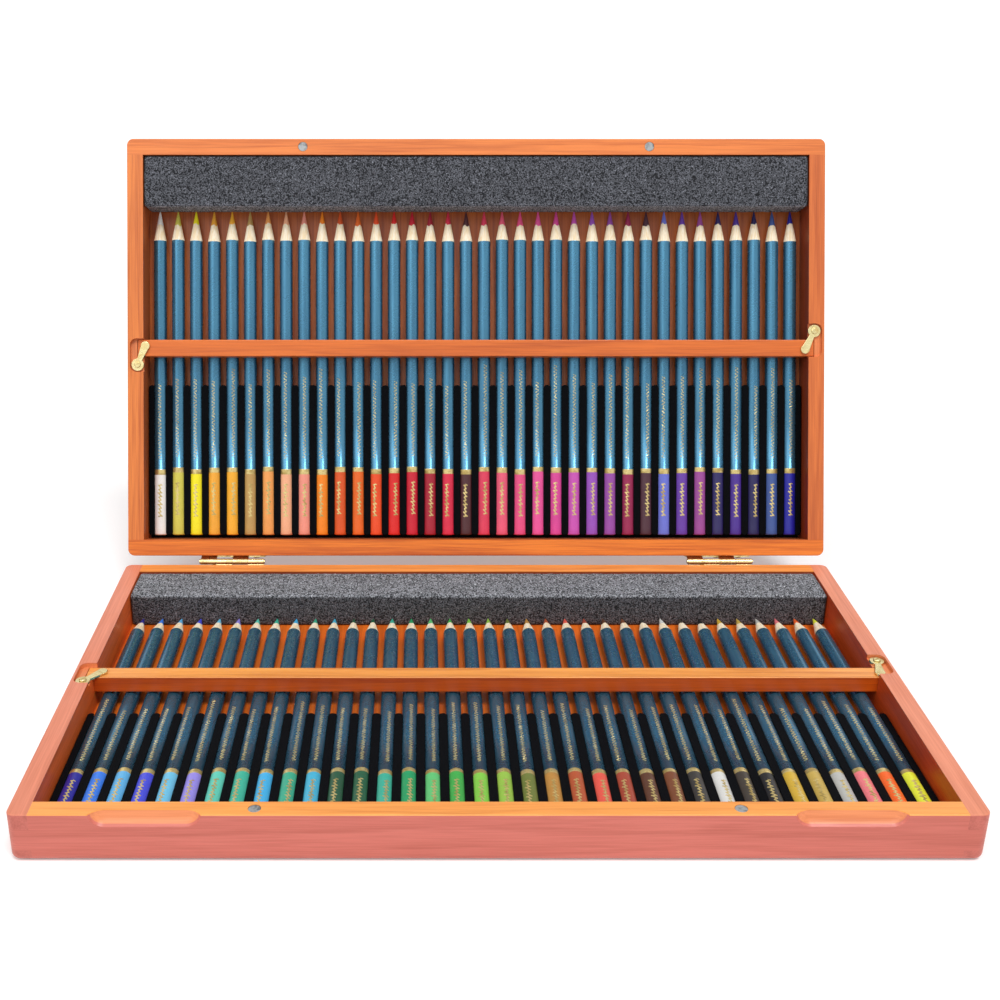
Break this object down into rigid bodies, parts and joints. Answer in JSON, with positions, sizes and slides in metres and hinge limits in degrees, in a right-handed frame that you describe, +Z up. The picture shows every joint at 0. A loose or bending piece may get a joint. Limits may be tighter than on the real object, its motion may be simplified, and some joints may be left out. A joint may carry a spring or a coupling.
{
  "type": "folding pencil case",
  "caption": "Hinged wooden case of two shallow trays, each holding a row of coloured pencils under a retaining bar with brass turn buttons.",
  "frame": {"origin": "centre of the base tray's underside, on the surface it rests on", "axes": "+X to the right along the hinge line, +Y to the hinges at the rear, +Z up"},
  "size_m": [0.375, 0.3294, 0.233],
  "materials": {
    "stained_wood": "red-orange stain under satin lacquer",
    "foam": "charcoal open-cell foam",
    "formed_plastic": "black formed sheet",
    "magnet_steel": "plated magnet",
    "brass": "pale polished brass plating",
    "pencil_barrel": "dark teal lacquer",
    "pencil_lead": "coloured waxy core"
  },
  "bodies": {
    "base": {"base_front_wall": "stained_wood", "base_rear_wall": "stained_wood", "base_left_wall": "stained_wood", "base_right_wall": "stained_wood", "base_floor_panel": "stained_wood", "base_foam_strip": "foam", "base_pencil_tray": "formed_plastic", "base_retaining_bar": "stained_wood", "base_magnets": "magnet_steel", "base_button_screws": "brass", "base_hinge_leaves": "brass", "base_hinge_screws": "brass", "base_pencil_barrels": "pencil_barrel", "base_pencil_leads": "pencil_lead", "hinge_pins": "brass"},
    "lid": {"lid_front_wall": "stained_wood", "lid_rear_wall": "stained_wood", "lid_left_wall": "stained_wood", "lid_right_wall": "stained_wood", "lid_panel": "stained_wood", "lid_foam_strip": "foam", "lid_pencil_tray": "formed_plastic", "lid_retaining_bar": "stained_wood", "lid_magnets": "magnet_steel", "lid_button_screws": "brass", "lid_hinge_leaves": "brass", "lid_hinge_screws": "brass", "lid_pencil_barrels": "pencil_barrel", "lid_pencil_leads": "pencil_lead"},
    "base_button_left": {"base_left_button": "brass"},
    "base_button_right": {"base_right_button": "brass"},
    "lid_button_left": {"lid_left_button": "brass"},
    "lid_button_right": {"lid_right_button": "brass"}
  },
  "joints": [
    {"name": "lid_fold", "type": "hinge", "parent": "base", "child": "lid", "pos_m": [0, 0.1152, 0.0217], "axis": [1, 0, 0], "range_deg": [0, 111.4]},
    {"name": "base_left_turn", "type": "hinge", "parent": "base", "child": "base_button_left", "pos_m": [-0.18231, -0.0091, 0.01955], "axis": [0, 0, 1], "range_deg": [-66, 38]},
    {"name": "base_right_turn", "type": "hinge", "parent": "base", "child": "base_button_right", "pos_m": [0.18231, 0.0091, 0.01955], "axis": [0, 0, 1], "range_deg": [-95, 9]},
    {"name": "lid_left_turn", "type": "hinge", "parent": "lid", "child": "lid_button_left", "pos_m": [-0.18231, 0.15591, 0.1197], "axis": [0, -0.9311, 0.3649], "range_deg": [-83, 21]},
    {"name": "lid_right_turn", "type": "hinge", "parent": "lid", "child": "lid_button_right", "pos_m": [0.18231, 0.16256, 0.13665], "axis": [0, -0.9311, 0.3649], "range_deg": [-79, 25]}
  ]
}
